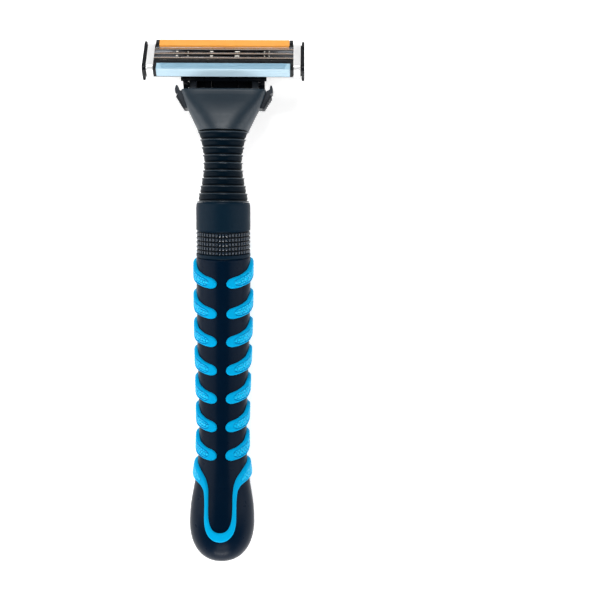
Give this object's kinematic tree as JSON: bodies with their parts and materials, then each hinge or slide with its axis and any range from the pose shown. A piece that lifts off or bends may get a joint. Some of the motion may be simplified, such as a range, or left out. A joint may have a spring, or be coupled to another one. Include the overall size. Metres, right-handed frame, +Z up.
{
  "type": "cartridge razor",
  "caption": "Wet-shaving razor: a pivoting bladed cartridge with end clips, guard and lubricating strip on a side-squeeze head, ribbed neck and round handle with wrapped soft grip arms.",
  "frame": {"origin": "on the surface that the razor lies on, under the middle of its bounding box", "axes": "+Y from the butt of the handle to the cartridge, +Z up out of the razor's front, +X to the right when the razor is seen from its front with the cartridge at the top"},
  "size_m": [0.0414, 0.1353, 0.0179],
  "materials": {
    "handle_plastic": "satin moulded, soft gloss",
    "grip_elastomer": "soft-touch, moulded pebble texture",
    "core_plastic": "plain moulded",
    "sleeve_elastomer": "soft-touch, thin ribs",
    "collar_plastic": "satin moulded",
    "knurl_plastic": "pyramid knurl",
    "head_plastic": "satin moulded",
    "spring_steel": "drawn wire",
    "button_plastic": "moulded",
    "button_elastomer": "ribbed soft-touch",
    "cartridge_plastic": "moulded",
    "guard_elastomer": "soft moulded fins",
    "strip_polymer": "waxy",
    "clip_aluminium": "bright rolled strip",
    "blade_steel": "ground and coated edge",
    "support_steel": "rolled strip"
  },
  "bodies": {
    "handle": {"handle_body": "handle_plastic", "grip_overmould": "grip_elastomer", "neck_core": "core_plastic", "neck_sleeve": "sleeve_elastomer", "collar": "collar_plastic", "knurled_ring": "knurl_plastic", "head_cover": "head_plastic", "head_base": "core_plastic", "plunger_spring": "spring_steel", "release_spring_left": "spring_steel", "release_spring_right": "spring_steel"},
    "plunger": {"plunger": "core_plastic"},
    "release_left": {"release_arm_left": "button_plastic", "release_pad_left": "button_elastomer"},
    "release_right": {"release_arm_right": "button_plastic", "release_pad_right": "button_elastomer"},
    "cartridge": {"cartridge_frame": "cartridge_plastic", "cartridge_bracket": "cartridge_plastic", "guard": "guard_elastomer", "lubricating_strip": "strip_polymer", "end_clip_left": "clip_aluminium", "end_clip_right": "clip_aluminium", "blade_springs_1": "cartridge_plastic", "blade_springs_2": "cartridge_plastic", "blade_springs_3": "cartridge_plastic"},
    "blade_unit_1": {"blade_1": "blade_steel", "blade_support_1": "support_steel"},
    "blade_unit_2": {"blade_2": "blade_steel", "blade_support_2": "support_steel"},
    "blade_unit_3": {"blade_3": "blade_steel", "blade_support_3": "support_steel"}
  },
  "joints": [
    {"name": "cartridge_pivot", "type": "hinge", "parent": "handle", "child": "cartridge", "pos_m": [0, 0.05577, 0.0085], "axis": [-1, 0, 0], "range_deg": [0, 44], "stiffness_Nm_per_rad": 0.012, "springref_deg": -20.05},
    {"name": "plunger_slide", "type": "slide", "parent": "handle", "child": "plunger", "axis": [0, -1, 0], "range_m": [0, 0.00225], "deforming": ["plunger_spring"]},
    {"name": "release_left_slide", "type": "slide", "parent": "handle", "child": "release_left", "axis": [1, 0, 0], "range_m": [0, 0.0012], "stiffness_N_per_m": 1500, "springref_m": -0.001, "deforming": ["release_spring_left"]},
    {"name": "release_right_slide", "type": "slide", "parent": "handle", "child": "release_right", "axis": [-1, 0, 0], "range_m": [0, 0.0012], "stiffness_N_per_m": 1500, "springref_m": -0.001, "deforming": ["release_spring_right"]},
    {"name": "blade_float_1", "type": "slide", "parent": "cartridge", "child": "blade_unit_1", "axis": [0, -0.5878, -0.809], "range_m": [0, 0.00025], "stiffness_N_per_m": 1000, "springref_m": -0.0002, "deforming": ["blade_springs_1"]},
    {"name": "blade_float_2", "type": "slide", "parent": "cartridge", "child": "blade_unit_2", "axis": [0, -0.5878, -0.809], "range_m": [0, 0.00025], "stiffness_N_per_m": 1000, "springref_m": -0.0002, "deforming": ["blade_springs_2"]},
    {"name": "blade_float_3", "type": "slide", "parent": "cartridge", "child": "blade_unit_3", "axis": [0, -0.5878, -0.809], "range_m": [0, 0.00025], "stiffness_N_per_m": 1000, "springref_m": -0.0002, "deforming": ["blade_springs_3"]}
  ],
  "couplings": [
    {"joint": "plunger_slide", "follows": "cartridge_pivot", "m_per_rad": 0.0028648}
  ]
}
